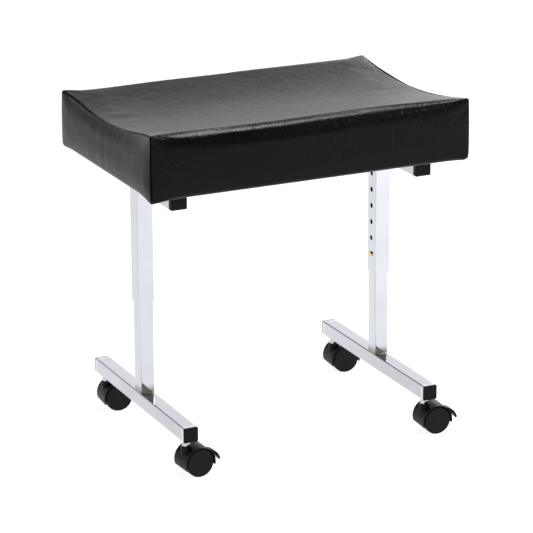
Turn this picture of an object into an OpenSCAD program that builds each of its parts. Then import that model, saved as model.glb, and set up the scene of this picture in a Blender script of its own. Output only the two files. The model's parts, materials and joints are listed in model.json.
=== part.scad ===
// Height-adjustable padded stool on two telescopic leg frames with braked twin-wheel castors.
// The origin is on the floor, midway between the castor stems: X runs along the seat, -Y is the front.

/* [Seat] */
// Length of the padded seat along X
seat_w = 494; // [480:2:540]
// Depth of the padded seat along Y
seat_d = 328; // [320:2:400]
// Offset of the seat's middle from the leg frames' middle along Y
seat_y = -4; // [-8:1:0]
// Height of the seat's front top edge above the floor
seat_front_z = 507; // [500:1:520]
// Height of the seat's back top edge above the floor
seat_back_z = 499; // [495:1:515]
// How far the seat dips below the straight line between its front and back edges
dish = 16; // [0:0.5:25]
// Thickness of the leatherette cover
cover_t = 1.2; // [0.8:0.1:1.5]
// Thickness of the plywood base board
board_t = 12; // [9:1:15]
// Distance from the inside of the cover to the edge of the board
board_inset = 6; // [0:0.5:8]
// Width of the cover's hem stapled under the board
hem_w = 25; // [20:1:35]
// Thickness of the dust cloth under the seat
dust_t = 0.6; // [0.4:0.1:1]

/* [Leg frames] */
// Distance of each leg frame from the middle of the stool
leg_x = 191; // [180:1:200]
// Width of the square outer tube (upper rail and sliding sleeve)
outer_w = 25; // [25:0.5:27]
// Width of the square inner tube (foot rail and post)
inner_w = 22; // [20:0.5:22]
// Wall thickness of both tubes
wall = 1.2; // [1:0.1:1.2]
// Outside corner radius of both tubes
corner_r = 2; // [1.5:0.25:2.5]
// Length of a foot rail with its end caps
foot_l = 328; // [326:1:345]
// Height of the foot rail's underside above the floor
foot_z = 55; // [54:0.5:56]
// Length of an upper rail without its end caps
upper_l = 254; // [240:1:280]
// Height of the upper rail's top face above the floor
upper_top_z = 412; // [411:1:415]
// Height of the right sleeve's lower end above the floor
right_sleeve_z = 206; // [206:0.5:208]
// Height of the left sleeve's lower end above the floor
left_sleeve_z = 215; // [206:0.5:216]
// Height of the inner post's upper end above the floor
post_top_z = 258; // [250:1:260]

/* [Height adjustment] */
// Number of adjustment holes in a sleeve
hole_n = 6; // [4:1:6]
// Distance between adjustment holes
hole_pitch = 25; // [20:1:25]
// Height of the lowest adjustment hole, which holds the snap button
hole_z = 234; // [232:0.5:236]
// Diameter of the adjustment holes
hole_d = 7.6; // [7.2:0.1:8]
// Diameter of the snap button
button_d = 7.4; // [7:0.1:7.4]
// How far the snap button stands out of the sleeve
button_out = 2.4; // [1.5:0.1:3]
// How far the snap button travels inwards
button_stroke = 4; // [3.8:0.1:4.2]

/* [Castors] */
// Distance of a castor stem from the middle of its foot rail
stem_y = 147; // [140:0.5:148]
// Radius of a castor wheel
wheel_r = 20.5; // [19:0.5:20.5]
// Distance of the wheel axle behind the swivel stem
trail = 13.5; // [12:0.5:15]
// Half width of a castor from its middle to a hood edge
hood_half = 18.6; // [18:0.2:18.6]
// Swivel angle of the front left castor
swivel_fl = 3.5; // [-4:0.5:4]
// Swivel angle of the back left castor
swivel_bl = -4; // [-4:0.5:4]
// Swivel angle of the front right castor
swivel_fr = -3; // [-4:0.5:4]
// Swivel angle of the back right castor
swivel_br = -4; // [-4:0.5:4]

/* [Hidden] */
$fn = 64;

chrome = "#d9dde2";
brass = "#c9a55a";
steel = "#9a9da1";
plastic = "#222325";
vinyl = "#1d1f20";
foam_colour = "#e8dfa8";
plywood = "#c8a470";
cloth = "#2b2b2d";

left = -1;
right = 1;
front = -1;
back = 1;
cut = 1;                                   // overshoot of a cutting tool past a face
run_gap = 0.05;                            // radial clearance of a running fit

foot_top_z = foot_z + inner_w;
upper_z = upper_top_z - outer_w;           // underside of the upper rail
foot_cap_t = 1.5;
foot_plug_l = 6;
upper_cap_t = 8;
upper_plug_l = 10;
plug_gap = 0.1;

stem_r = 4;                                // threaded end in the rail
pin_r = 3;                                 // plain swivel end in the hood
stem_hole_r = 4.2;
collar_af = 12;
collar_z = 45.2;
washer_t = 1.4;
washer_r = 6.4;
nut_af = 13;
nut_h = 6.5;

foot_bead = 2.5;
upper_bead = 3;

flange_r = 5;                              // foot of the snap button inside the post
flange_t = 1;
spring_t = 0.8;
spring_w = 8;
spring_drop = 32;

board_z = upper_top_z + dust_t + cover_t;
board_top_z = board_z + board_t;
board_edge = cover_t + board_inset;
screw_y = 100;
screw_r = 3;
screw_hole_r = 3.3;
screw_head_r = 6;
screw_head_t = 3.2;
t_nut_r = 4;
t_nut_flange_r = 9;
t_nut_flange_t = 1.2;
dish_steps = 16;
staple_w = 10;
staple_wire = 1;
staple_leg = 7;
staple_inset = 12;
staple_gap = 60;

axle_z = wheel_r;
axle_r = 2.5;
axle_half = 15.5;
hood_r = 23.6;
hood_t = 1.6;
hood_low_front = -12;                      // where the hood ends on the lever side
hood_low_back = 200;                       // where the hood ends on the stem side
neck_r = 7.5;
neck_z = 44.5;
web_half = 4.4;                            // half thickness of the hood's middle web
web_boss_r = 5.5;
wheel_in = 4.7;                            // inner face of a wheel, from the middle
wheel_out = 18.2;                          // outer face of a wheel, from the middle
wheel_disc_t = 2;
wheel_rim_t = 2.6;
wheel_edge_r = 1.6;
wheel_hub_r = 5.5;
lever_x = 12;                              // brake lever pivot, from the wheel axle
lever_z = 8;
lever_half = 2.5;
pedal_half = 6;
trunnion_r = 1.5;
slot_half = 2.7;

// Shared shapes

// A square with round corners, centred
module rounded_square(w, r) {
    square([w - 2 * r, w], center = true);
    square([w, w - 2 * r], center = true);
    for (x = [-1, 1], y = [-1, 1])
        translate([x * (w / 2 - r), y * (w / 2 - r)])
            circle(r);
}

// The cross-section of a square tube
module tube_section(w) {
    difference() {
        rounded_square(w, corner_r);
        rounded_square(w - 2 * wall, corner_r - wall);
    }
}

// Lays a drawing in X and Z, and gives it a length along Y
module along_y(l) {
    rotate([90, 0, 0])
        linear_extrude(l, center = true)
            children();
}

// Lays a drawing in Y and Z, and gives it a length along X
module along_x(l) {
    rotate([90, 0, 90])
        linear_extrude(l, center = true)
            children();
}

// A rod along Y between two places
module rod_y(y1, y2, r) {
    translate([0, y2, 0])
        rotate([90, 0, 0])
            cylinder(h = y2 - y1, r = r);
}

// A hexagonal bar along Z, measured across its flats
module hex_bar(af, h) {
    cylinder(h = h, r = af / 2 / cos(30), $fn = 6);
}

// The two fillet welds at the foot or head of an upright
module weld_pair(w, leg, up) {
    for (side = [-1, 1])
        scale([1, side, up])
            translate([0, w / 2, 0])
                along_x(w - 2 * corner_r)
                    polygon([[0, 0], [leg, 0], [0, leg]]);
}

// Leg frame, lower half

module foot_rail(side) {
    color(chrome)
        difference() {
            translate([side * leg_x, 0, foot_z + inner_w / 2])
                along_y(foot_l - 2 * foot_cap_t)
                    tube_section(inner_w);
            for (end = [front, back])
                translate([side * leg_x, end * stem_y, foot_z - cut])
                    cylinder(h = wall + 2 * cut, r = stem_hole_r);
        }
}

module inner_post(side) {
    color(chrome)
        difference() {
            translate([side * leg_x, 0, foot_top_z])
                linear_extrude(post_top_z - foot_top_z)
                    tube_section(inner_w);
            translate([side * (leg_x - inner_w / 2 - cut), 0, hole_z])
                rotate([0, side * 90, 0])
                    cylinder(h = wall + 2 * cut, r = hole_d / 2);
        }
}

module foot_weld(side) {
    color(chrome)
        translate([side * leg_x, 0, foot_top_z])
            weld_pair(inner_w, foot_bead, 1);
}

module foot_caps(side) {
    color(plastic)
        for (end = [front, back])
            scale([1, end, 1])
                translate([side * leg_x, foot_l / 2, foot_z + inner_w / 2]) {
                    translate([0, -foot_cap_t / 2, 0])
                        along_y(foot_cap_t)
                            rounded_square(inner_w, corner_r);
                    translate([0, -foot_cap_t - foot_plug_l / 2, 0])
                        along_y(foot_plug_l)
                            rounded_square(inner_w - 2 * wall - 2 * plug_gap, corner_r - wall);
                }
}

module stem_nuts(side) {
    color(steel)
        for (end = [front, back])
            translate([side * leg_x, end * stem_y, foot_z + wall])
                difference() {
                    hex_bar(nut_af, nut_h);
                    translate([0, 0, -cut])
                        cylinder(h = nut_h + 2 * cut, r = stem_r + run_gap);
                }
}

module stem_washers(side) {
    color(plastic)
        for (end = [front, back])
            translate([side * leg_x, end * stem_y, foot_z - washer_t])
                difference() {
                    cylinder(h = washer_t, r = washer_r);
                    translate([0, 0, -cut])
                        cylinder(h = washer_t + 2 * cut, r = stem_r + run_gap);
                }
}

module castor_stem(side, end) {
    pin_z = 25;
    stem_top_z = foot_z + wall + nut_h + 3;
    color(chrome)
        translate([side * leg_x, end * stem_y, 0]) {
            translate([0, 0, pin_z])
                cylinder(h = collar_z - pin_z, r = pin_r);
            translate([0, 0, collar_z])
                hex_bar(collar_af, foot_z - washer_t - collar_z);
            translate([0, 0, foot_z - washer_t])
                cylinder(h = stem_top_z - foot_z + washer_t, r = stem_r);
        }
}

// Places a drawing at the inward face of a leg frame's post, with +X pointing inwards
module at_button(side) {
    translate([side * leg_x, 0, hole_z])
        scale([-side, 1, 1])
            children();
}

module snap_button(side) {
    inner_face = inner_w / 2 - wall;
    tip = outer_w / 2 + button_out;
    dome = 1.2;
    color(brass)
        at_button(side)
            rotate([0, 90, 0])
                rotate_extrude()
                    union() {
                        translate([0, inner_face - flange_t])
                            square([flange_r, flange_t]);
                        translate([0, inner_face])
                            square([button_d / 2, tip - dome - inner_face]);
                        translate([0, tip - dome])
                            square([button_d / 2 - dome, dome]);
                        translate([button_d / 2 - dome, tip - dome])
                            intersection() {
                                circle(dome);
                                square(dome);
                            }
                    }
}

// A folded leaf spring: one leg behind the button, one against the far wall
module button_spring(side) {
    far = inner_w / 2 - wall;
    near = inner_w / 2 - wall - flange_t;
    color(steel)
        at_button(side)
            along_y(spring_w)
                polygon([
                    [near, 4], [near, -6], [spring_t - far + 2, -spring_drop],
                    [-far, -spring_drop], [-far, 6], [spring_t - far, 6],
                    [spring_t - far, -spring_drop + spring_t],
                    [near - spring_t, -6 + spring_t / 2], [near - spring_t, 4]
                ]);
}

// Leg frame, upper half

module upper_rail(side) {
    color(chrome)
        difference() {
            translate([side * leg_x, 0, upper_z + outer_w / 2])
                along_y(upper_l)
                    tube_section(outer_w);
            for (end = [front, back])
                translate([side * leg_x, end * screw_y, upper_z - cut])
                    cylinder(h = outer_w + 2 * cut, r = screw_hole_r);
        }
}

module sleeve(side) {
    low = side == left ? left_sleeve_z : right_sleeve_z;
    color(chrome)
        difference() {
            translate([side * leg_x, 0, low])
                linear_extrude(upper_z - low)
                    tube_section(outer_w);
            for (i = [0:hole_n - 1])
                translate([side * (leg_x - outer_w / 2 - cut), 0, hole_z + i * hole_pitch])
                    rotate([0, side * 90, 0])
                        cylinder(h = wall + 2 * cut, r = hole_d / 2);
        }
}

module upper_weld(side) {
    color(chrome)
        translate([side * leg_x, 0, upper_z])
            weld_pair(outer_w, upper_bead, -1);
}

// A thick pushed-in cap with softened edges
module upper_cap(side, end) {
    edge_r = 2.5;
    depth = upper_cap_t + edge_r;
    color(plastic)
        scale([1, end, 1])
            translate([side * leg_x, upper_l / 2, upper_z + outer_w / 2]) {
                intersection() {
                    translate([0, depth / 2 - edge_r, 0])
                        along_y(depth)
                            rounded_square(outer_w, edge_r);
                    linear_extrude(outer_w, center = true)
                        cap_outline(edge_r);
                    rotate([0, 90, 0])
                        linear_extrude(outer_w, center = true)
                            cap_outline(edge_r);
                }
                translate([0, -upper_plug_l / 2, 0])
                    along_y(upper_plug_l)
                        rounded_square(outer_w - 2 * wall - 2 * plug_gap, corner_r - wall);
            }
}

// A cap seen from the side: square against the tube, round at its outer corners
module cap_outline(r) {
    translate([-outer_w / 2, 0])
        square([outer_w, upper_cap_t - r]);
    translate([-outer_w / 2 + r, 0])
        square([outer_w - 2 * r, upper_cap_t]);
    for (x = [-1, 1])
        translate([x * (outer_w / 2 - r), upper_cap_t - r])
            circle(r);
}

// Seat

// Height of the seat's top surface at a place along its depth, from the seat's middle
function seat_top(y) =
    let (t = y / seat_d + 0.5)
    seat_front_z + (seat_back_z - seat_front_z) * t - dish * 4 * t * (1 - t);

// The seat's cross-section in Y and Z, shrunk by a margin, above a given height
module seat_section(margin, low) {
    half = seat_d / 2 - margin;
    polygon(concat(
        [[-half, low]],
        [for (i = [0:dish_steps])
            let (y = -half + 2 * half * i / dish_steps)
            [y, seat_top(y) - margin]],
        [[half, low]]
    ));
}

module base_board() {
    color(plywood)
        difference() {
            translate([0, seat_y, board_z + board_t / 2])
                cube([seat_w - 2 * board_edge, seat_d - 2 * board_edge, board_t], center = true);
            at_screws()
                translate([0, 0, board_z - cut])
                    cylinder(h = board_t + 2 * cut, r = t_nut_r);
        }
}

module foam_pad() {
    color(foam_colour)
        difference() {
            translate([0, seat_y, 0])
                along_x(seat_w - 2 * cover_t)
                    seat_section(cover_t, board_top_z);
            at_screws()
                translate([0, 0, board_top_z - cut])
                    cylinder(h = t_nut_flange_t + cut, r = t_nut_flange_r);
        }
}

module seat_cover() {
    low = upper_top_z + dust_t;
    hem = [seat_w - 2 * hem_w, seat_d - 2 * hem_w, 4 * cover_t];
    color(vinyl)
        translate([0, seat_y, 0])
            difference() {
                along_x(seat_w)
                    seat_section(0, low);
                along_x(seat_w - 2 * cover_t)
                    seat_section(cover_t, board_z);
                translate([0, 0, low])
                    cube(hem, center = true);
            }
}

module dust_cloth() {
    lap = 15;
    color(cloth)
        difference() {
            translate([0, seat_y, upper_top_z + dust_t / 2])
                cube([seat_w - 2 * lap, seat_d - 2 * lap, dust_t], center = true);
            at_screws()
                translate([0, 0, upper_top_z - cut])
                    cylinder(h = dust_t + 2 * cut, r = screw_hole_r);
        }
}

// The four places where the seat is bolted to the upper rails
module at_screws() {
    for (side = [left, right], end = [front, back])
        translate([side * leg_x, end * screw_y, 0])
            children();
}

module rail_screws() {
    color(steel)
        at_screws() {
            translate([0, 0, upper_z - screw_head_t])
                cylinder(h = screw_head_t, r = screw_head_r);
            translate([0, 0, upper_z])
                cylinder(h = board_top_z - upper_z, r = screw_r);
        }
}

module t_nuts() {
    barrel = 9;
    color(steel)
        at_screws()
            difference() {
                union() {
                    translate([0, 0, board_top_z - barrel])
                        cylinder(h = barrel, r = t_nut_r);
                    translate([0, 0, board_top_z])
                        cylinder(h = t_nut_flange_t, r = t_nut_flange_r);
                }
                translate([0, 0, board_top_z - barrel - cut])
                    cylinder(h = barrel + t_nut_flange_t + 2 * cut, r = screw_r + run_gap);
            }
}

module staple() {
    translate([0, 0, staple_wire / 4])
        cube([staple_w, staple_wire, staple_wire / 2], center = true);
    for (x = [-1, 1])
        translate([x * (staple_w - staple_wire) / 2, 0, staple_leg / 2])
            cube([staple_wire, staple_wire, staple_leg], center = true);
}

module cover_staples() {
    z = upper_top_z + dust_t - staple_wire / 2;
    x_n = floor((seat_w / 2 - 2 * staple_inset) / staple_gap);
    y_n = floor((seat_d / 2 - 2 * staple_inset) / staple_gap);
    color(steel)
        translate([0, seat_y, z]) {
            for (i = [-x_n:x_n], end = [front, back])
                translate([i * staple_gap, end * (seat_d / 2 - staple_inset), 0])
                    staple();
            for (i = [-y_n:y_n], side = [left, right])
                translate([side * (seat_w / 2 - staple_inset), i * staple_gap, 0])
                    rotate([0, 0, 90])
                        staple();
        }
}

// Castors

function swivel(side, end) =
    side == left ? (end == front ? swivel_fl : swivel_bl)
                 : (end == front ? swivel_fr : swivel_br);

// Places a drawing on a castor, with +X along its trail and its stem at the origin
module at_castor(side, end) {
    translate([side * leg_x, end * stem_y, 0])
        rotate([0, 0, swivel(side, end)])
            children();
}

// Places a drawing on a castor's wheel axle
module at_axle(side, end) {
    at_castor(side, end)
        translate([trail, 0, axle_z])
            children();
}

// The sector that the hood covers, as a large wedge around the axle
module hood_sector(r) {
    far = 2 * r;
    polygon([
        [0, 0],
        [far * cos(hood_low_front), far * sin(hood_low_front)],
        [far, far], [-far, far],
        [far * cos(hood_low_back), far * sin(hood_low_back)]
    ]);
}

module castor_hood(side, end) {
    color(plastic)
        at_axle(side, end)
            difference() {
                union() {
                    along_y(2 * hood_half)
                        intersection() {
                            difference() {
                                circle(hood_r);
                                circle(hood_r - hood_t);
                            }
                            hood_sector(hood_r);
                        }
                    along_y(2 * web_half)
                        intersection() {
                            circle(hood_r - hood_t / 2);
                            hood_sector(hood_r);
                        }
                    along_y(2 * web_half)
                        circle(web_boss_r);
                    difference() {
                        translate([-trail, 0, 0])
                            cylinder(h = neck_z - axle_z, r = neck_r);
                        rod_y(-hood_half, hood_half, hood_r - hood_t / 2);
                    }
                }
                rod_y(-hood_half, hood_half, axle_r);
                translate([-trail, 0, 4])
                    cylinder(h = hood_r, r = pin_r + run_gap);
                along_y(2 * slot_half)
                    polygon([[4, -1], [30, -1], [30, 15], [13, 15], [4, 14]]);
                translate([lever_x, 0, lever_z])
                    rod_y(-web_half - cut, web_half + cut, trunnion_r + run_gap);
            }
}

module castor_axle(side, end) {
    color(steel)
        at_axle(side, end)
            rod_y(-axle_half, axle_half, axle_r);
}

// One wheel: a closed outer disc, a tread ring and a hub that runs on the axle
module castor_wheel(side, end, face) {
    color(plastic)
        at_axle(side, end)
            rotate([-face * 90, 0, 0])
                rotate_extrude() {
                    translate([0, wheel_out - wheel_disc_t])
                        square([wheel_r - wheel_edge_r, wheel_disc_t]);
                    translate([wheel_r - wheel_rim_t, wheel_in])
                        square([wheel_rim_t, wheel_out - wheel_in - wheel_edge_r]);
                    translate([wheel_r - wheel_edge_r, wheel_out - wheel_edge_r])
                        circle(wheel_edge_r);
                    translate([axle_r + run_gap, wheel_in])
                        square([wheel_hub_r - axle_r - run_gap, wheel_out - wheel_in - wheel_disc_t]);
                }
}

module brake_lever(side, end) {
    color(plastic)
        at_axle(side, end) {
            along_y(2 * lever_half)
                polygon([[6, 4], [16, 2], [23, 6], [26.5, 5.6], [26.5, 10.6],
                         [23.5, 12.2], [20.5, 13.2], [12, 12], [6, 11]]);
            along_y(2 * pedal_half)
                polygon([[20.8, 13.6], [24.6, 12.4], [28.8, 10.2], [32.6, 6.8], [35.6, 2.6],
                         [37.2, -1.2], [37.2, -4], [35.2, -4.2], [33.4, -0.4],
                         [30.6, 2.6], [27.6, 4.6], [25.2, 5.6], [24.2, 8]]);
            translate([lever_x, 0, lever_z])
                rod_y(-web_half + run_gap, web_half - run_gap, trunnion_r);
        }
}

foot_rail(left);  // left_foot_rail
inner_post(left);  // left_inner_post
foot_weld(left);  // left_foot_weld
foot_caps(left);  // left_foot_caps
stem_nuts(left);  // left_stem_nuts
stem_washers(left);  // left_stem_washers
castor_stem(left, front);  // left_front_stem
castor_stem(left, back);  // left_back_stem
button_spring(left);  // left_button_spring
snap_button(left);  // left_snap_button
foot_rail(right);  // right_foot_rail
inner_post(right);  // right_inner_post
foot_weld(right);  // right_foot_weld
foot_caps(right);  // right_foot_caps
stem_nuts(right);  // right_stem_nuts
stem_washers(right);  // right_stem_washers
castor_stem(right, front);  // right_front_stem
castor_stem(right, back);  // right_back_stem
button_spring(right);  // right_button_spring
snap_button(right);  // right_snap_button
upper_rail(left);  // left_upper_rail
sleeve(left);  // left_sleeve
upper_weld(left);  // left_upper_weld
upper_cap(left, front);  // left_front_upper_cap
upper_cap(left, back);  // left_back_upper_cap
upper_rail(right);  // right_upper_rail
sleeve(right);  // right_sleeve
upper_weld(right);  // right_upper_weld
upper_cap(right, front);  // right_front_upper_cap
upper_cap(right, back);  // right_back_upper_cap
base_board();
foam_pad();
seat_cover();
dust_cloth();
rail_screws();
t_nuts();
cover_staples();
castor_hood(left, front);  // left_front_hood
castor_axle(left, front);  // left_front_axle
castor_wheel(left, front, -1);  // left_front_wheel_a
castor_wheel(left, front, 1);  // left_front_wheel_b
brake_lever(left, front);  // left_front_brake_lever
castor_hood(left, back);  // left_back_hood
castor_axle(left, back);  // left_back_axle
castor_wheel(left, back, -1);  // left_back_wheel_a
castor_wheel(left, back, 1);  // left_back_wheel_b
brake_lever(left, back);  // left_back_brake_lever
castor_hood(right, front);  // right_front_hood
castor_axle(right, front);  // right_front_axle
castor_wheel(right, front, -1);  // right_front_wheel_a
castor_wheel(right, front, 1);  // right_front_wheel_b
brake_lever(right, front);  // right_front_brake_lever
castor_hood(right, back);  // right_back_hood
castor_axle(right, back);  // right_back_axle
castor_wheel(right, back, -1);  // right_back_wheel_a
castor_wheel(right, back, 1);  // right_back_wheel_b
brake_lever(right, back);  // right_back_brake_lever
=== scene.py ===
"""Looks of the padded stool on two height-adjustable leg frames with castors."""

import math

import bmesh
import bpy
import numpy as np
from mathutils import Matrix, Vector, noise
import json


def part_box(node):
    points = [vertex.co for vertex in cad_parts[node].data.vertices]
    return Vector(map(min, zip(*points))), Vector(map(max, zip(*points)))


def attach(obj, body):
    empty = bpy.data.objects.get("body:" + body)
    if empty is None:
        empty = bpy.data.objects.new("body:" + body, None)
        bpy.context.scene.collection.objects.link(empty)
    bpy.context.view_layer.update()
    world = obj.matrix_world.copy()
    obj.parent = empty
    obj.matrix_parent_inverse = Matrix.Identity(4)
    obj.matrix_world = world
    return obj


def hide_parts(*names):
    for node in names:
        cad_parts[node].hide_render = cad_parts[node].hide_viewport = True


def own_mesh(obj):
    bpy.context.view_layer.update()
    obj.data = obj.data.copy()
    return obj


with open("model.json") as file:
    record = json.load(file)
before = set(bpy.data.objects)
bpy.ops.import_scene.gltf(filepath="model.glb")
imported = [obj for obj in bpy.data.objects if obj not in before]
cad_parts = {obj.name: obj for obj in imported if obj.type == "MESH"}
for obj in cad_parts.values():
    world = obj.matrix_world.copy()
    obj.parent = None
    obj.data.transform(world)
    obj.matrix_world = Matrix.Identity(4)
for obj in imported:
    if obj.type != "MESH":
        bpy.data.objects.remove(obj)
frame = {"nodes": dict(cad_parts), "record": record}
bpy.context.view_layer.update()
nodes = frame["nodes"]
scene = bpy.context.scene

MM = 0.001

# --------------------------------------------------------------------------- camera


def aim_camera(azimuth, elevation, roll, distance, target, lens):
    a, e, r = (math.radians(v) for v in (azimuth, elevation, roll))
    back = Vector((math.sin(a) * math.cos(e), -math.cos(a) * math.cos(e), math.sin(e)))
    side = Vector((math.cos(a), math.sin(a), 0))
    up = back.cross(side)
    right = math.cos(r) * side + math.sin(r) * up
    top = -math.sin(r) * side + math.cos(r) * up
    place = Vector(target) + back * distance
    data = bpy.data.cameras.new("photo_camera")
    data.lens = lens
    data.clip_end = 200
    camera = bpy.data.objects.new("photo_camera", data)
    camera.matrix_world = Matrix((
        (right.x, top.x, back.x, place.x),
        (right.y, top.y, back.y, place.y),
        (right.z, top.z, back.z, place.z),
        (0, 0, 0, 1),
    ))
    scene.collection.objects.link(camera)
    scene.camera = camera


aim_camera(azimuth=-25.514, elevation=17.954, roll=-0.253, distance=3.988,
           target=(0.0057, 0, 0.2387), lens=184.05)
scene.view_settings.view_transform = "Standard"

# --------------------------------------------------------------------------- node helpers


def put(tree, kind, inputs=None, **settings):
    """Adds a node; a value in inputs is a number, a colour or another node's output."""
    node = tree.nodes.new("ShaderNode" + kind)
    for name, value in settings.items():
        setattr(node, name, value)
    for name, value in (inputs or {}).items():
        if isinstance(value, bpy.types.NodeSocket):
            tree.links.new(value, node.inputs[name])
        else:
            node.inputs[name].default_value = value
    return node


def material(name, **values):
    """A new Principled material with uniform values on its own sockets."""
    made = bpy.data.materials.new(name)
    made.use_nodes = True
    shader = made.node_tree.nodes["Principled BSDF"]
    for key, value in values.items():
        shader.inputs[key.replace("_", " ")].default_value = value
    return made, made.node_tree, shader


def grey(v, blue=0.0):
    return (v, v, v * (1 + blue), 1)


def noise_of(tree, scale, detail=2.0, rough=0.5, vector=None, distort=0.0):
    """Noise in the rest frame; scale is in features to a metre."""
    place = vector or put(tree, "TexCoord").outputs["Object"]
    return put(tree, "TexNoise", {"Vector": place, "Scale": scale, "Detail": detail,
                                  "Roughness": rough, "Distortion": distort}).outputs["Fac"]


def span(tree, value, low, high, to_low, to_high, smooth=False):
    """Maps a value from one range to another."""
    return put(tree, "MapRange", {"Value": value, "From Min": low, "From Max": high,
                                  "To Min": to_low, "To Max": to_high},
               interpolation_type="SMOOTHSTEP" if smooth else "LINEAR").outputs["Result"]


def math_of(tree, what, a, b=0.0):
    return put(tree, "Math", {0: a, 1: b}, operation=what).outputs[0]


def mix(tree, share, a, b):
    """Mixes two colours."""
    node = put(tree, "Mix", data_type="RGBA")
    for socket, value in ((0, share), (6, a), (7, b)):
        if isinstance(value, bpy.types.NodeSocket):
            tree.links.new(value, node.inputs[socket])
        else:
            node.inputs[socket].default_value = value
    return node.outputs[2]


def bump(tree, shader, height, distance, strength=1.0, under=None):
    node = put(tree, "Bump", {"Height": height, "Distance": distance, "Strength": strength})
    if under is not None:
        tree.links.new(under, node.inputs["Normal"])
    tree.links.new(node.outputs[0], shader.inputs["Normal"])
    return node.outputs[0]


# --------------------------------------------------------------------------- light

WALL_LIGHT, CEILING_LIGHT = 1.22, 0.26
WALL_TOP, CEILING_START = 0.33, 0.58          # heights of a direction's Z
FRONT_WAY = (0.12, -0.99, 0.0)                # towards the dark side of the room
FRONT_LIGHT = 0.16                            # its share of the light
LEFT_WAY = (-0.87, 0.5, 0.0)                  # towards the dimmer back left
LEFT_LIGHT = 0.56
FLOOR_GREY, FLOOR_GLOW = 0.50, 0.90


def make_world():
    """A white studio: bright walls, a dimmer ceiling and back left, and a dark room in front."""
    world = bpy.data.worlds.new("studio")
    scene.world = world
    world.use_nodes = True
    tree = world.node_tree
    light = tree.nodes["Background"]
    way = put(tree, "TexCoord").outputs["Generated"]
    axes = put(tree, "SeparateXYZ", {"Vector": way})
    height = span(tree, axes.outputs["Z"], WALL_TOP, CEILING_START, WALL_LIGHT, CEILING_LIGHT,
                  True)
    toward = put(tree, "VectorMath", {0: way, 1: FRONT_WAY}, operation="DOT_PRODUCT")
    front = span(tree, toward.outputs["Value"], 0.02, 0.34, 0.0, 1.0, True)
    flag = span(tree, front, 0.0, 1.0, 1.0, FRONT_LIGHT)
    leftward = put(tree, "VectorMath", {0: way, 1: LEFT_WAY}, operation="DOT_PRODUCT")
    shade = span(tree, leftward.outputs["Value"], 0.10, 0.70, 1.0, LEFT_LIGHT)
    flag = math_of(tree, "MULTIPLY", flag, shade)
    strength = math_of(tree, "MULTIPLY", height, flag)
    tree.links.new(strength, light.inputs["Strength"])
    light.inputs["Color"].default_value = (0.985, 0.99, 1.0, 1)


def make_floor():
    """A floor too wide for its edge to show, which glows so that it stays white."""
    half = 40
    mesh = bpy.data.meshes.new("floor")
    mesh.from_pydata([(-half, -half, 0), (half, -half, 0), (half, half, 0), (-half, half, 0)],
                     [], [(0, 1, 2, 3)])
    floor = bpy.data.objects.new("floor", mesh)
    scene.collection.objects.link(floor)
    made, tree, shader = material("studio_floor", Base_Color=grey(FLOOR_GREY), Roughness=0.9)
    shader.inputs["Specular IOR Level"].default_value = 0.0
    shader.inputs["Emission Color"].default_value = grey(1)
    shader.inputs["Emission Strength"].default_value = FLOOR_GLOW
    mesh.materials.append(made)


def area_light(name, place, at, size, power):
    """A rectangular lamp that faces a point and isn't seen itself."""
    data = bpy.data.lights.new(name, "AREA")
    data.shape = "RECTANGLE"
    data.size, data.size_y = size
    data.energy = power
    lamp = bpy.data.objects.new(name, data)
    lamp.location = place
    lamp.rotation_euler = (Vector(at) - Vector(place)).to_track_quat("-Z", "Y").to_euler()
    lamp.visible_camera = False
    scene.collection.objects.link(lamp)
    return lamp


make_world()
make_floor()
area_light("front_fill", place=(2.2, -1.2, 1.4), at=(0.5, -0.8, 0), size=(1.2, 1.0), power=56)
strip = area_light("strip_softbox", place=(0.25, 0.40, 2.25), at=(0, 0, 0.5), size=(1.8, 0.36),
                   power=85)
area_light("back_window", place=(1.45, 1.15, 0.95), at=(0.15, 0, 0.48), size=(0.9, 1.0), power=7)

# --------------------------------------------------------------------------- materials


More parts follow.
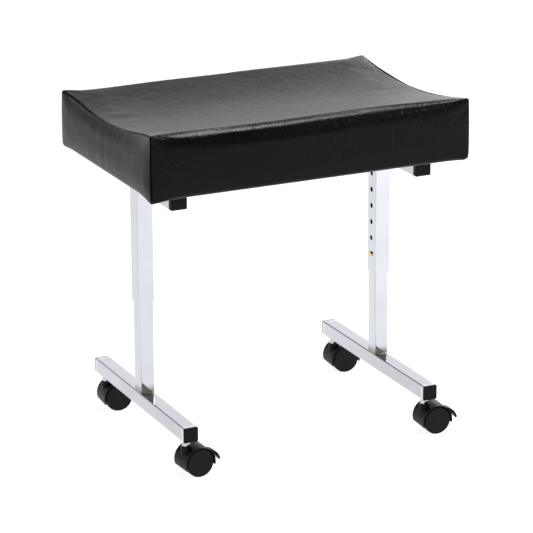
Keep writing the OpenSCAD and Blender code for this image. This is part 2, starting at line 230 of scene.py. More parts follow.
def chrome_material(name, heated=False):
    """Bright plated tube, faintly wavy; the heated one is tinted above its foot weld. The uprights'
    plate is painted brighter and the rails' darker: painted light and shade on one plating.
    """
    made, tree, shader = material(name, Metallic=1.0, IOR=1.5)
    place = put(tree, "TexCoord").outputs["Object"]
    axes = put(tree, "SeparateXYZ", {"Vector": place})
    cloudy = noise_of(tree, 14, 3, 0.55, place)
    fine = noise_of(tree, 320, 2, 0.5, place)
    rough = math_of(tree, "ADD", span(tree, cloudy, 0.3, 0.7, 0.07, 0.11),
                    span(tree, fine, 0.2, 0.8, -0.008, 0.008))
    tree.links.new(rough, shader.inputs["Roughness"])
    # painted light and shade: one plating gets a brighter base on the uprights (and their beads) than
    # on the rails
    level = 0.585 if heated else 0.51
    base = mix(tree, span(tree, cloudy, 0.35, 0.65, 0, 1),
               (level, level * 1.027, level * 1.09, 1),
               (level + 0.04, level * 1.027 + 0.04, level * 1.09 + 0.04, 1))
    if heated:
        weld_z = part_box("left_inner_post")[0].z
        tint_reach = 15 * MM
        wander = span(tree, noise_of(tree, 90, 2, 0.5, place), 0, 1, -0.003, 0.003)
        above = math_of(tree, "ADD", axes.outputs["Z"], wander)
        scorch = span(tree, above, weld_z, weld_z + tint_reach, 0.9, 0.0, True)
        base = mix(tree, scorch, base, (0.21, 0.195, 0.145, 1))
        tree.links.new(span(tree, scorch, 0.0, 0.9, 1.0, 0.30), shader.inputs["Metallic"])
    else:
        # the rails' last 7 mm, over the plugs, are painted a brighter chrome: a painted highlight
        ends = math_of(tree, "ABSOLUTE", axes.outputs["Y"])
        rail_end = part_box("left_foot_rail")[1].y
        painted_end_highlight = span(tree, ends, rail_end - 8.5 * MM, rail_end - 7 * MM, 0.0, 0.35, True)
        base = mix(tree, painted_end_highlight, base, (0.80, 0.81, 0.83, 1))
    tree.links.new(base, shader.inputs["Base Color"])
    wavy = noise_of(tree, 45, 1, 0.4, place)
    soft = bump(tree, shader, wavy, 0.00006)
    bump(tree, shader, fine, 0.000006, under=soft)
    return made


def plastic_material(name, tone, rough, grain):
    """Moulded black plastic with a faint spark-eroded grain and a little dust in it."""
    made, tree, shader = material(name)
    place = put(tree, "TexCoord").outputs["Object"]
    broad = noise_of(tree, 60, 3, 0.6, place)
    fine = noise_of(tree, grain, 3, 0.6, place)
    base = mix(tree, span(tree, broad, 0.3, 0.75, 0, 1), grey(tone * 0.8, 0.04),
               grey(tone * 1.3, 0.06))
    tree.links.new(base, shader.inputs["Base Color"])
    tree.links.new(math_of(tree, "ADD", span(tree, broad, 0.3, 0.7, rough - 0.05, rough + 0.06),
                           span(tree, fine, 0.3, 0.7, -0.05, 0.05)), shader.inputs["Roughness"])
    shader.inputs["Specular IOR Level"].default_value = 0.095
    bump(tree, shader, fine, 0.00005)
    return made


def leather_material():
    """Black coated upholstery: pebbled grain, creases of uneven depth and a soft sheen."""
    made, tree, shader = material("black_leatherette")
    shader.inputs["Specular IOR Level"].default_value = 0.110
    place = put(tree, "TexCoord").outputs["Object"]
    bend = put(tree, "TexNoise", {"Vector": place, "Scale": 160.0, "Detail": 2.0})
    shifted = put(tree, "VectorMath", {0: bend.outputs["Color"], 1: (0.003, 0.003, 0.003)},
                  operation="MULTIPLY").outputs["Vector"]
    warped = put(tree, "VectorMath", {0: place, 1: shifted}, operation="ADD").outputs["Vector"]
    pebble = put(tree, "TexVoronoi", {"Vector": warped, "Scale": 520.0},
                 feature="DISTANCE_TO_EDGE").outputs["Distance"]
    pebble = span(tree, pebble, 0.0, 0.22, 0.0, 1.0, True)
    pores = noise_of(tree, 1500, 2, 0.6, place)
    hide = noise_of(tree, 45, 5, 0.62, place, 0.6)
    grain = noise_of(tree, 330, 3, 0.6, place, 1.2)
    broad = noise_of(tree, 9, 3, 0.5, place)
    base = mix(tree, span(tree, broad, 0.3, 0.7, 0, 1), (0.0018, 0.0019, 0.0020, 1),
               (0.0034, 0.0035, 0.0036, 1))
    tree.links.new(base, shader.inputs["Base Color"])
    rough = math_of(tree, "ADD", span(tree, broad, 0.3, 0.7, 0.22, 0.29),
                    span(tree, pebble, 0.0, 1.0, 0.08, -0.04))
    tree.links.new(rough, shader.inputs["Roughness"])
    first = bump(tree, shader, hide, 0.0010, 0.5)
    second = bump(tree, shader, grain, 0.00018, 0.7, under=first)
    third = bump(tree, shader, pebble, 0.00006, 0.7, under=second)
    bump(tree, shader, pores, 0.00002, 0.7, under=third)
    return made


def steel_material(name, tint, rough):
    """Zinc-plated or spring steel with a crystalline mottle."""
    made, tree, shader = material(name, Metallic=1.0)
    place = put(tree, "TexCoord").outputs["Object"]
    spangle = put(tree, "TexVoronoi", {"Vector": place, "Scale": 900.0}).outputs["Distance"]
    fine = noise_of(tree, 1200, 2, 0.5, place)
    low = tuple(v * 0.85 for v in tint) + (1,)
    tree.links.new(mix(tree, span(tree, spangle, 0.1, 0.8, 0, 1), low, tint + (1,)),
                   shader.inputs["Base Color"])
    tree.links.new(span(tree, fine, 0.3, 0.7, rough - 0.06, rough + 0.08),
                   shader.inputs["Roughness"])
    bump(tree, shader, fine, 0.00002)
    return made


def wood_material():
    """Birch plywood: long grain on the faces, thin darker plies at the edges."""
    made, tree, shader = material("birch_plywood", Roughness=0.62)
    place = put(tree, "TexCoord").outputs["Object"]
    stretched = put(tree, "Mapping", {"Vector": place, "Scale": (6.0, 90.0, 90.0)})
    grain = noise_of(tree, 4, 5, 0.6, stretched.outputs[0], 0.4)
    plies = put(tree, "TexWave", {"Vector": place, "Scale": 130.0, "Distortion": 0.6},
                bands_direction="Z").outputs["Fac"]
    base = mix(tree, grain, (0.50, 0.34, 0.19, 1), (0.72, 0.55, 0.34, 1))
    base = mix(tree, span(tree, plies, 0.0, 0.3, 0.35, 0.0), base, (0.30, 0.18, 0.09, 1))
    tree.links.new(base, shader.inputs["Base Color"])
    bump(tree, shader, grain, 0.0001)
    return made


def foam_material():
    """Cut polyurethane foam with open cells."""
    made, tree, shader = material("cut_foam", Roughness=0.95)
    place = put(tree, "TexCoord").outputs["Object"]
    cells = put(tree, "TexVoronoi", {"Vector": place, "Scale": 900.0}).outputs["Distance"]
    tree.links.new(mix(tree, cells, (0.55, 0.48, 0.28, 1), (0.88, 0.82, 0.58, 1)),
                   shader.inputs["Base Color"])
    bump(tree, shader, cells, 0.0004)
    return made


def dust_cloth_material():
    """Spun-bonded black cloth: random fibres, pressed together at a grid of small dots."""
    made, tree, shader = material("spunbond_cloth")
    shader.inputs["Sheen Weight"].default_value = 0.25
    place = put(tree, "TexCoord").outputs["Object"]
    fibres = noise_of(tree, 700, 5, 0.75, place, 1.5)
    dots = put(tree, "TexVoronoi", {"Vector": place, "Scale": 450.0, "Randomness": 0.15})
    dot = span(tree, dots.outputs["Distance"], 0.18, 0.34, 0.0, 1.0, True)
    base = mix(tree, fibres, (0.008, 0.008, 0.009, 1), (0.040, 0.040, 0.043, 1))
    tree.links.new(base, shader.inputs["Base Color"])
    tree.links.new(span(tree, dot, 0, 1, 0.55, 0.95), shader.inputs["Roughness"])
    first = bump(tree, shader, fibres, 0.0002)
    bump(tree, shader, dot, 0.00015, under=first)
    return made


MATERIALS = {
    "chrome": chrome_material("chrome_plate"),
    "heated_chrome_painted_brighter": chrome_material("chrome_plate_heated_painted_brighter", True),
    "black_plastic": plastic_material("satin_black_plastic", 0.0065, 0.38, 1400),
    "castor_nylon": plastic_material("castor_wheel_nylon", 0.010, 0.44, 1100),
    "zinc_steel": steel_material("zinc_plated_steel", (0.62, 0.63, 0.66), 0.30),
    "spring_steel": steel_material("blued_spring_steel", (0.36, 0.37, 0.40), 0.26),
    "brass": steel_material("polished_brass", (0.78, 0.60, 0.30), 0.18),
    "leatherette": leather_material(),
    "dust_cloth": dust_cloth_material(),
    "foam": foam_material(),
    "plywood": wood_material(),
}

# --------------------------------------------------------------------------- CAD nodes


# each material's broken edge, in mm
BEVELS = {"chrome": 0.16, "black_plastic": 0.45, "castor_nylon": 0.45, "zinc_steel": 0.22,
          "spring_steel": 0.12, "brass": 0.25, "plywood": 0.5, "foam": 0.5, "leatherette": 0.5,
          "dust_cloth": 0.1}


def soften_edges(node, width):
    """Breaks a node's sharp edges as moulding, drawing or tumbling leaves them."""
    weld = node.modifiers.new("join_seams", "WELD")
    weld.merge_threshold = 0.00002
    bevel = node.modifiers.new("broken_edges", "BEVEL")
    bevel.width = width
    bevel.segments = 2
    bevel.limit_method = "ANGLE"
    bevel.angle_limit = math.radians(38)
    normals = node.modifiers.new("even_shading", "WEIGHTED_NORMAL")
    normals.weight = 80
    normals.keep_sharp = False


def dress_cad_nodes():
    """Gives every CAD node its material, and softens its edges as the real part's are."""
    slots = {p["node"]: p["material_slot"] for p in frame["record"]["subparts"]}
    for name, node in nodes.items():
        slot = slots[name]
        node.data.materials.clear()
        upright = "_post" in name or "sleeve" in name
        node.data.materials.append(MATERIALS["heated_chrome_painted_brighter" if upright else slot])
        soften_edges(node, BEVELS[slot] * MM)


dress_cad_nodes()

# --------------------------------------------------------------------------- seat

SEAT_LOW, SEAT_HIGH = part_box("seat_cover")
HALF_X = SEAT_HIGH.x
MIDDLE_Y = (SEAT_LOW.y + SEAT_HIGH.y) / 2
HALF_Y = (SEAT_HIGH.y - SEAT_LOW.y) / 2
BOTTOM = SEAT_LOW.z
FRONT_TOP = SEAT_HIGH.z - 2 * MM      # the cover swells up to the CAD's top
BACK_TOP = FRONT_TOP - 7.5 * MM
EDGE_R = 3.4 * MM                     # roundness of the sewn edges round the end panels
SEAM_DEPTH = 2.3 * MM
UNDER_R = 9 * MM                      # roundness of the lower edges between the corners
LEAN = 7.6 * MM                       # how far the end panels' top edges are pulled in
DISH = 16 * MM
HEM = 25 * MM
SKIN = 1.2 * MM
BOARD_FACE = 13.2 * MM                # the board's upper face above the cover's lowest point
BOARD_EDGE = 8 * MM                   # the board's edge inside the cover's
SIDE_ROWS, FOLD_ROWS, TOP_ROWS, WRAP_COLUMNS = 14, 10, 48, 96
EDGE_STEPS = 3                        # columns on each side of a seam, round the edge


def smooth(t):
    t = np.clip(t, 0, 1)
    return t * t * (3 - 2 * t)


def hump(v, middle, width):
    return np.exp(-(((v - middle) / width) ** 2))


def front_top(x):
    """The front edge's height: a raised left corner and a slow wave, as foam under a tight cover."""
    wave = 0.9 * math.sin(2 * math.pi * (x - 0.02) / 0.42)
    return FRONT_TOP - 1.4 * MM + (wave + 2.6 * math.exp(-(((x + HALF_X) / 0.03) ** 2))) * MM


def back_top(x):
    return BACK_TOP + 0.5 * math.sin(2 * math.pi * (x + 0.1) / 0.5) * MM


def top_line(x, y):
    t = y / (2 * HALF_Y) + 0.5
    sag = (4 * t * (1 - t)) ** 1.4 if 0 < t < 1 else 0
    return front_top(x) + (back_top(x) - front_top(x)) * t - DISH * sag


def wrap_line(x):
    """The wrap's section at x: points and normals in Y and Z, from the front's foot to the back's."""
    from_end = HALF_X - abs(x)
    fold = (3.0 + 8.5 * float(smooth(from_end / 0.045))) * MM
    arcs = []
    for end in (-1, 1):
        edge = end * HALF_Y
        slope = (top_line(x, edge * 0.995) - top_line(x, edge)) / (0.005 * HALF_Y)
        centre = top_line(x, edge) + slope * fold - fold * math.hypot(1, slope)
        last = math.atan2(1, -slope)
        arc = []
        for i in range(FOLD_ROWS + 1):
            a = math.pi + (last - math.pi) * i / FOLD_ROWS
            arc.append((end * (HALF_Y - fold - fold * math.cos(a)), centre + fold * math.sin(a),
                        -end * math.cos(a), math.sin(a)))
        arcs.append(arc)
    front, back = arcs
    foot = BOTTOM + UNDER_R
    line = [(-HALF_Y, foot + (front[0][1] - foot) * i / SIDE_ROWS, -1.0, 0.0)
            for i in range(SIDE_ROWS)]
    line += front
    start, stop = front[-1][0], back[-1][0]
    for i in range(1, TOP_ROWS):
        y = start + (stop - start) * i / TOP_ROWS
        slope = (top_line(x, y + MM) - top_line(x, y - MM)) / (2 * MM)
        line.append((y, top_line(x, y), -slope / math.hypot(slope, 1), 1 / math.hypot(slope, 1)))
    line += back[::-1]
    line += [(HALF_Y, foot + (back[0][1] - foot) * i / SIDE_ROWS, 1.0, 0.0)
             for i in range(SIDE_ROWS - 1, -1, -1)]
    return line


def seat_columns():
    """Each column's x on the flat wrap, and how far it has turned round the end's edge."""
    inner = HALF_X - EDGE_R
    steps = 2 * EDGE_STEPS
    turns = [math.pi / 2 * k / steps for k in range(steps, 0, -1)]
    columns = [(-inner - EDGE_R * math.sin(a), EDGE_R * (1 - math.cos(a))) for a in turns]
    for i in range(WRAP_COLUMNS + 1):
        t = 2 * i / WRAP_COLUMNS - 1
        columns.append((inner * (1.25 * t - 0.25 * t ** 3), 0.0))
    columns += [(inner + EDGE_R * math.sin(a), EDGE_R * (1 - math.cos(a))) for a in turns[::-1]]
    return columns


def seat_shell():
    """The cover as quads: the wrap, its turned ends, the end panels, the lower edge and the hem."""
    columns = seat_columns()
    points, faces = [], []
    for x, drop in columns:
        for y, z, ny, nz in wrap_line(max(-HALF_X, min(HALF_X, x))):
            points.append((x, y - ny * drop, z - nz * drop))
    rows = len(points) // len(columns)
    for c in range(len(columns) - 1):
        for r in range(rows - 1):
            a = c * rows + r
            faces.append((a, a + rows, a + rows + 1, a + 1))
    seams = [[c * rows + r for r in range(rows)]
             for c in (EDGE_STEPS, len(columns) - 1 - EDGE_STEPS)]
    side = SIDE_ROWS + FOLD_ROWS // 2
    across = rows - 1 - 2 * side
    feet = []
    for which, column in ((0, 0), (1, len(columns) - 1)):
        base = column * rows
        grid = {(r, 0): base + r for r in range(side + 1)}
        grid.update({(r, across): base + rows - 1 - r for r in range(side + 1)})
        grid.update({(side, c): base + side + c for c in range(across + 1)})
        at = {key: Vector(points[index]) for key, index in grid.items()}
        for r in range(side):
            v = r / side
            for c in range(1, across):
                u = c / across
                foot = at[0, 0].lerp(at[0, across], u)
                spot = (at[r, 0].lerp(at[r, across], u) + foot.lerp(at[side, c], v)
                        - foot.lerp(at[side, 0].lerp(at[side, across], u), v))
                grid[r, c] = len(points)
                points.append(tuple(spot))
        for r in range(side):
            for c in range(across):
                quad = (grid[r, c], grid[r, c + 1], grid[r + 1, c + 1], grid[r + 1, c])
                faces.append(quad if which else quad[::-1])
        feet.append([grid[0, c] for c in range(across + 1)])
    ring = [c * rows for c in range(len(columns))] + feet[1][1:]
    ring += [c * rows + rows - 1 for c in range(len(columns) - 2, -1, -1)] + feet[0][-2:0:-1]
    held = len(points)
    add_lower_edge(points, faces, ring)
    return np.array(points), faces, seams, held


def add_ring(points, faces, last, spots, inset, z):
    """Adds the outline again, drawn in by inset and z above the bottom, joined to the last ring."""
    count = len(spots)
    fresh = []
    for (x, y, _), gap in zip(spots, np.broadcast_to(inset, count)):
        fresh.append(len(points))
        points.append((x * (HALF_X - gap) / HALF_X, y * (HALF_Y - gap) / HALF_Y, BOTTOM + z))
    for k in range(count):
        n = (k + 1) % count
        faces.append((last[k], fresh[k], fresh[n], last[n]))
    return fresh


def add_lower_edge(points, faces, ring):
    """Rolls the cover under the board's edge, tightly at the corners, and in along the hem."""
    spots = np.array([points[i] for i in ring])
    corner = np.minimum(HALF_X - np.abs(spots[:, 0]) + np.maximum(HALF_Y - np.abs(spots[:, 1]), 0),
                        1.0)
    dog_ear = np.where((spots[:, 0] < 0) & (spots[:, 1] < 0), 1.6, 8.0)
    round_r = dog_ear * MM + (UNDER_R - dog_ear * MM - 0.2 * MM) * smooth(corner / 0.05)
    last = ring
    steps = 5
    for step in range(1, steps + 1):
        z = UNDER_R * (1 - math.sin(math.pi / 2 * step / steps))
        depth = np.clip((round_r - z) / round_r, 0, 1)
        last = add_ring(points, faces, last, spots, round_r * (1 - np.sqrt(1 - depth ** 2)), z)
    for inset in (12 * MM, 18 * MM, HEM):
        last = add_ring(points, faces, last, spots, inset, 0.0)
    # the hem's cut edge, the skin's inner side, and the foam's face on the board
    for inset, z in ((HEM, SKIN), (BOARD_EDGE, SKIN), (BOARD_EDGE, BOARD_FACE)):
        last = add_ring(points, faces, last, spots, inset, z)


def pull_in(spots):
    """Leans the end panels' upper edges inwards between their corners, and pulls the top with them."""
    x, y, z = spots.T.copy()
    t = y / HALF_Y
    bow = 1 - np.where(t < 0, np.abs(t) ** 3.5, np.abs(t) ** 5)
    lift = np.clip((z - BOTTOM) / (FRONT_TOP - 14 * MM - BOTTOM), 0, 1) ** 1.3
    near = smooth((np.abs(x) - (HALF_X - 0.075)) / 0.07)
    spots[:, 0] -= np.sign(x) * LEAN * bow * lift * near
    # the end panels swell between their seams
    from_edge = np.clip(HALF_Y - np.abs(y), 0, 1)
    swell = (1 - np.exp(-from_edge / 0.015)) * smooth((z - BOTTOM) / 0.026)
    swell *= 1 - smooth((z - (FRONT_TOP - 0.040)) / 0.036)
    at_end = smooth((np.abs(x) - (HALF_X - 0.004)) / 0.003)
    spots[:, 0] += np.sign(x) * 4.2 * MM * swell * at_end
    # the foam's upper edges give way, more at the left of the front than at the right
    give = (3.9 - 1.5 * x / HALF_X) * smooth((HALF_X - np.abs(x)) / 0.03) + 0.6
    reach = np.clip(1 - (FRONT_TOP - 8 * MM * (y > 0) - z) / 0.022, 0, 1)
    edge = smooth((np.abs(y) - (HALF_Y - 0.030)) / 0.022)
    spots[:, 1] -= np.sign(y) * give * MM * reach ** 2 * edge
    ear = hump(np.abs(x), HALF_X, 0.016) * hump(np.abs(y), HALF_Y, 0.016)
    spots[:, 2] -= 1.6 * MM * ear * (1 - smooth((z - BOTTOM) / 0.03))
    return spots


def new_object(name, points, faces, mat):
    """A mesh object with one material, in the scene."""
    mesh = bpy.data.meshes.new(name)
    mesh.from_pydata([tuple(p) for p in points], [], faces)
    mesh.materials.append(mat)
    made = bpy.data.objects.new(name, mesh)
    scene.collection.objects.link(made)
    return made


def read(mesh, what="co"):
    """A mesh's points, or its points' normals, as rows."""
    values = np.zeros(len(mesh.vertices) * 3)
    mesh.vertices.foreach_get(what, values)
    return values.reshape(-1, 3)


def write(mesh, spots):
    mesh.vertices.foreach_set("co", np.asarray(spots, float).ravel())
    mesh.update()


def bake_modifiers(obj):
    """Replaces an object's mesh with the one that its modifiers make."""
    bpy.context.view_layer.update()
    graph = bpy.context.evaluated_depsgraph_get()
    made = bpy.data.meshes.new_from_object(obj.evaluated_get(graph))
    obj.modifiers.clear()
    old, obj.data = obj.data, made
    name = old.name
    bpy.data.meshes.remove(old)
    made.name = name


def close_holes(mesh):
    """Caps every open rim; it comes after subdividing, which is slow on a very large face."""
    shape = bmesh.new()
    shape.from_mesh(mesh)
    bmesh.ops.holes_fill(shape, edges=[e for e in shape.edges if e.is_boundary], sides=0)
    shape.to_mesh(mesh)
    shape.free()


def stuff(obj, pins, pressure, cap, share, frames=20):
    """Swells a cover by cloth simulation: pinned where it is stapled, and held near its seams."""
    start = read(obj.data)
    group = obj.vertex_groups.new(name="pin")
    for index, weight in pins.items():
        group.add([index], weight, "REPLACE")
    cloth = obj.modifiers.new("stuffing", "CLOTH")
    set_up = cloth.settings
    set_up.quality = 8
    set_up.mass = 0.4
    set_up.tension_stiffness = set_up.compression_stiffness = 40
    set_up.shear_stiffness = 20
    set_up.bending_stiffness = 1.5
    set_up.tension_damping = set_up.compression_damping = 15
    set_up.air_damping = 4
    set_up.vertex_group_mass = "pin"
    set_up.pin_stiffness = 1.0
    set_up.shrink_min = 0.0
    set_up.use_pressure = True
    set_up.uniform_pressure_force = pressure
    set_up.effector_weights.gravity = 0
    cloth.collision_settings.use_collision = False
    cloth.point_cache.frame_start, cloth.point_cache.frame_end = 1, frames
    for number in range(1, frames + 1):
        scene.frame_set(number)
    graph = bpy.context.evaluated_depsgraph_get()
    swollen = read(obj.evaluated_get(graph).data)
    obj.modifiers.clear()
    scene.frame_set(1)
    travel = swollen - start
    far = np.linalg.norm(travel, axis=1, keepdims=True)
    travel *= np.minimum(1, cap / np.maximum(far, 1e-9))
    write(obj.data, start + share * travel)


def field(spots, size, stretch=(1, 1, 1), seed=0.0):
    """Smooth noise from -1 to 1 at each point; size is a feature's, in metres."""
    scaled = spots / (np.array(stretch) * size) + seed
    return np.array([noise.noise(Vector(p)) for p in scaled])


def ridges(spots, size, stretch=(1, 1, 1), seed=0.0):
    """Sharp narrow folds between smooth pillows, from 0 to 1."""
    return np.maximum(0, 1 - 3.2 * np.abs(field(spots, size, stretch, seed))) ** 1.5


# vertical creases on the front: x, depth, lowest and highest point above the bottom edge
CREASES = ((-0.002, 0.36, 0.020, 0.080), (0.067, 0.26, 0.028, 0.078),
           (0.124, 0.36, 0.022, 0.080), (-0.118, 0.15, 0.030, 0.070))


def relief(spots, normals):
    """How far each point of the cover stands in or out, in metres, from wrinkles and puckers."""
    x, y, z = spots.T
    on_front = np.clip(-normals[:, 1], 0, 1) ** 2
    on_back = np.clip(normals[:, 1], 0, 1) ** 2
    on_top = np.clip(normals[:, 2], 0, 1) ** 2
    on_end = np.clip(np.abs(normals[:, 0]), 0, 1) ** 2
    below = FRONT_TOP - z
    from_seam = HALF_X - np.abs(x)
    height = z - BOTTOM
    # slow unevenness of the top, and the skin's small ripples
    out = 0.40 * on_top * field(spots, 0.055, (1.3, 1, 1))
    out += 0.10 * field(spots, 0.014, (1, 1, 1), 7.0) * (on_top + on_front)
    # short slanted folds under the front's upper edge, more of them to the right
    slanted = np.stack([x + 0.45 * z, y * 0.4, z], 1)
    folds = ridges(slanted, 0.0070, (1, 1, 3.0), 3.0)
    patchy = smooth(field(spots, 0.045, (1, 1, 0.6), 11.0) * 1.6 + 0.5)
    right = 0.30 + 0.70 * smooth((x + 0.03) / 0.16)
    fold_zone = hump(below, 0.010, 0.013)
    out -= 0.36 * folds * patchy * right * fold_zone * (on_front + 0.4 * on_top)
    # folds that fan out from the front's upper right corner
    slanted = np.stack([x - 0.6 * z, y * 0.3, z], 1)
    fans = ridges(slanted, 0.011, (1, 1, 3), 21.0)
    corner = hump(x, 0.205, 0.055) * hump(below, 0.018, 0.026)
    out -= 0.42 * fans * corner * on_front
    # two small crumpled patches on the front
    scribble = ridges(spots, 0.008, (1, 1, 1.4), 31.0)
    out -= 0.5 * scribble * hump(x, 0.035, 0.030) * hump(below, 0.040, 0.014) * on_front
    brush = ridges(np.stack([x + 0.8 * z, y, z - 0.5 * x], 1), 0.010, (1, 1, 2.5), 41.0)
    out -= 0.55 * brush * hump(x, -0.215, 0.028) * hump(below, 0.045, 0.022) * on_front
    # the vertical creases, each with a low ridge beside it
    wander = 0.0022 * field(spots, 0.02, (50, 50, 1), 5.0)
    for place, depth, low, high in CREASES:
        along = smooth((height - low) / 0.012) * smooth((high - height) / 0.012)
        out -= depth * hump(x + wander, place, 0.0013) * along * on_front
        out += 0.4 * depth * hump(x + wander, place - 0.0035, 0.0022) * along * on_front
    # gathers along the sewn edges, and soft folds that hang from them
    along = y * (on_top + on_end) + z * (on_front + on_back) * (1 - on_end)
    pucker = np.sin(along * 2 * math.pi / 0.0085 + 2.5 * field(spots, 0.03, (1, 1, 1), 17.0))
    near = np.exp(-from_seam / 0.007)
    out += 0.16 * pucker * near * (on_top + on_front + on_back)
    hang = field(spots, 0.016, (60, 1, 4.5), 13.0)
    out += 0.26 * hang * on_end * smooth(height / 0.03) * (1 - 0.3 * smooth(height / 0.09))
    tug = field(spots, 0.022, (1, 30, 1.8), 19.0)
    out += 0.22 * tug * (on_front + on_back) * hump(height, 0.006, 0.022)
    return out * MM * smooth((height - 0.5 * MM) / (4 * MM))


def make_seat():
    """The cover and its foam: shaped, swollen, drawn in along the seams, smoothed and wrinkled."""
    spots, faces, seams, held = seat_shell()
    seat = new_object("seat_cushion", spots, faces, MATERIALS["leatherette"])
    mesh = seat.data
    spots = pull_in(spots)
    seam = np.array(sum(seams, []))
    mesh.update()
    write(mesh, spots)
    normals = read(mesh, "normal")
    # everything from the under-edge on is stapled down, and the seams don't stretch
    fixed = np.arange(len(spots)) >= held
    fixed |= spots[:, 2] < BOTTOM + UNDER_R + 4 * MM
    fixed[seam] = True
    pins = {int(i): 1.0 for i in np.flatnonzero(fixed)}
    stuff(seat, pins, pressure=2.0, cap=2.5 * MM, share=0.55)
    spots = read(mesh)
    at_corner = hump(np.abs(spots[seam, 1]), HALF_Y, 0.006) * hump(spots[seam, 2], FRONT_TOP, 0.012)
    spots[seam] -= normals[seam] * (SEAM_DEPTH + 1.6 * MM * at_corner)[:, None]
    write(mesh, spots)
    creases = mesh.attributes.new("crease_edge", "FLOAT", "EDGE")
    on_seam = np.zeros(len(mesh.vertices), bool)
    on_seam[seam] = True
    ends = np.zeros(len(mesh.edges) * 2, np.int32)
    mesh.edges.foreach_get("vertices", ends)
    ends = ends.reshape(-1, 2)
    creases.data.foreach_set("value", (on_seam[ends].all(1) * 0.85).astype(np.float32))
    sub = seat.modifiers.new("smooth", "SUBSURF")
    sub.levels = sub.render_levels = 2
    bake_modifiers(seat)
    seat.data.update()
    spots = read(seat.data)
    normals = read(seat.data, "normal")
    write(seat.data, spots + normals * relief(spots, normals)[:, None])
    close_holes(seat.data)
    spots = read(seat.data)
    spots[:, 1] += MIDDLE_Y
    write(seat.data, spots)
    seat.data.polygons.foreach_set("use_smooth", [True] * len(seat.data.polygons))
    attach(seat, "top")
    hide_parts("seat_cover", "foam_pad")
    # the overhead strip is flagged off everything but the seat, whose front fold it draws
    lit = bpy.data.collections.new("lit_by_strip")
    lit.objects.link(seat)
    strip.light_linking.receiver_collection = lit


make_seat()

# --------------------------------------------------------------------------- small pieces


def weld_beads(name, node, post, body):
    """Two rippled fillet beads, in front of and behind a post, in place of the plain CAD ones."""
    low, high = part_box(node)
    post_low, post_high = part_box(post)
    upward = abs(low.z - post_low.z) < 1 * MM
    leg = high.z - low.z
    points, faces = [], []
    stations, arc = 72, 9
    ripple = 1.65 * MM
    for side in (-1, 1):
        face = post_high.y if side > 0 else post_low.y
        first = len(points)
        for i in range(stations + 1):
            t = i / stations
            swell = min(1, math.sqrt(max(0.0, 4.5 * (0.5 - abs(t - 0.5)))) + 0.12)
            lap = abs(math.sin(math.pi * t * (high.x - low.x) / ripple + 0.4 * side))
            wander = 0.03 * noise.noise(Vector((t * 9, side * 3.1, leg * 900)))
            r = leg * swell * (0.86 + 0.05 * lap + wander)
            lean = 0.15 * MM * (lap - 0.5)
            x = low.x + (high.x - low.x) * t
            ring = [(0.0, 0.0)]
            for k in range(arc):
                a = math.pi / 2 * k / (arc - 1)
                ring.append((r * math.cos(a) ** 0.85, r * math.sin(a) ** 0.85))
            for out, up in ring:
                z = low.z + up if upward else high.z - up
                points.append((x + lean * up / leg, face + side * out, z))
        n = arc + 1
        for i in range(stations):
            for k in range(n):
                a = first + i * n + k
                b = first + i * n + (k + 1) % n
                faces.append((a, b, b + n, a + n))
        faces.append(tuple(first + k for k in range(n)))
        faces.append(tuple(first + stations * n + k for k in range(n)))
    bead = new_object(name, points, faces, MATERIALS["heated_chrome_painted_brighter"])
    shape = bmesh.new()
    shape.from_mesh(bead.data)
    bmesh.ops.recalc_face_normals(shape, faces=shape.faces)
    shape.to_mesh(bead.data)
    shape.free()
    bead.data.polygons.foreach_set("use_smooth", [True] * len(bead.data.polygons))
    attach(bead, body)
    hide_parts(node)


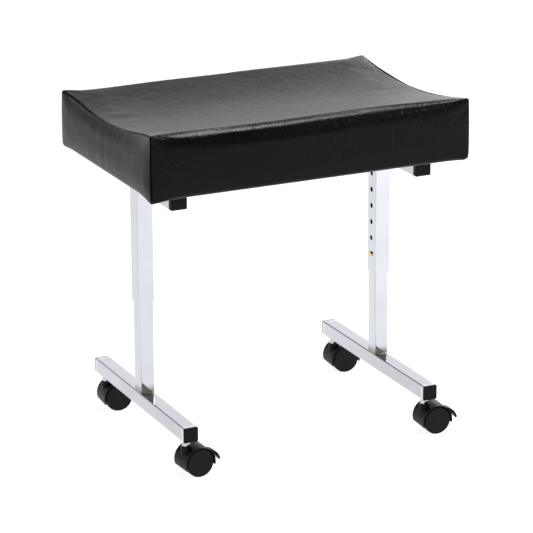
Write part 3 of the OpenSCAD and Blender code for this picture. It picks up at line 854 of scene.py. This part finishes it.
def dust_cloth():
    """The black cloth under the board: stretched, slightly slack, its edges turned under."""
    low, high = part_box("dust_cloth")
    rails = [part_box("left_upper_rail"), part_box("right_upper_rail")]
    thick = 0.5 * MM
    level = (low.z + high.z) / 2
    turn = 11 * MM
    across, along = 116, 75
    points, faces = [], []
    for i in range(across + 1):
        for j in range(along + 1):
            x = low.x + (high.x - low.x) * i / across
            y = low.y + (high.y - low.y) * j / along
            edge = min(x - low.x, high.x - x, y - low.y, high.y - y)
            free = float(smooth((edge - turn) / 0.03))
            for rail_low, rail_high in rails:
                gap = max(rail_low.x - x, x - rail_high.x, rail_low.y - y, y - rail_high.y)
                free *= float(smooth((gap - 3 * MM) / 0.03))
            slack = 1.1 + 0.7 * noise.noise(Vector((x / 0.05, y / 0.11, 2.0)))
            slack += 0.5 * noise.noise(Vector(((x + y) / 0.022, (x - y) / 0.09, 5.0)))
            points.append((x, y, level - slack * free * MM))
    rows = along + 1
    for i in range(across):
        for j in range(along):
            a = i * rows + j
            faces.append((a, a + 1, a + rows + 1, a + rows))
    rim = [i * rows for i in range(across + 1)]
    rim += [across * rows + j for j in range(1, rows)]
    rim += [i * rows + along for i in range(across - 1, -1, -1)]
    rim += [j for j in range(along - 1, 0, -1)]
    middle = Vector(((low.x + high.x) / 2, (low.y + high.y) / 2))
    half = Vector(((high.x - low.x) / 2, (high.y - low.y) / 2))
    last = rim
    for inset, drop in ((0.0, 0.35), (0.6, 0.62), (4.0, 0.70), (8.0, 0.66), (11.0, 0.72)):
        fresh = []
        for k, index in enumerate(rim):
            x, y, z = points[index]
            wave = 0.5 * noise.noise(Vector((x / 0.03, y / 0.03, 8.0)))
            fresh.append(len(points))
            shrink = inset + (wave if inset > 9 else 0)
            points.append((middle.x + (x - middle.x) * (half.x - shrink * MM) / half.x,
                           middle.y + (y - middle.y) * (half.y - shrink * MM) / half.y,
                           level - (drop + 0.15 * (wave + 0.5)) * MM))
        for k in range(len(rim)):
            n = (k + 1) % len(rim)
            faces.append((last[k], last[n], fresh[n], fresh[k]))
        last = fresh
    cloth = new_object("dust_cloth_sheet", points, faces, MATERIALS["dust_cloth"])
    solid = cloth.modifiers.new("thickness", "SOLIDIFY")
    solid.thickness = thick
    solid.offset = 0
    cloth.data.polygons.foreach_set("use_smooth", [True] * len(cloth.data.polygons))
    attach(cloth, "top")
    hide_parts("dust_cloth")


def leaf_spring(name, node, body):
    """The leaf spring behind a snap button, copied from its CAD node with the edges softened."""
    cad = nodes[node]
    spring = bpy.data.objects.new(name, cad.data.copy())
    spring.matrix_world = cad.matrix_world.copy()
    scene.collection.objects.link(spring)
    soften_edges(spring, BEVELS["spring_steel"] * MM)
    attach(spring, body)
    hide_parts(node)
    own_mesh(spring)


leaf_spring("left_leaf_spring", "left_button_spring", "left_foot")
leaf_spring("right_leaf_spring", "right_button_spring", "right_foot")
weld_beads("left_foot_bead", "left_foot_weld", "left_inner_post", "left_foot")
weld_beads("right_foot_bead", "right_foot_weld", "right_inner_post", "right_foot")
weld_beads("left_upper_bead", "left_upper_weld", "left_sleeve", "top")
weld_beads("right_upper_bead", "right_upper_weld", "right_sleeve", "top")
dust_cloth()
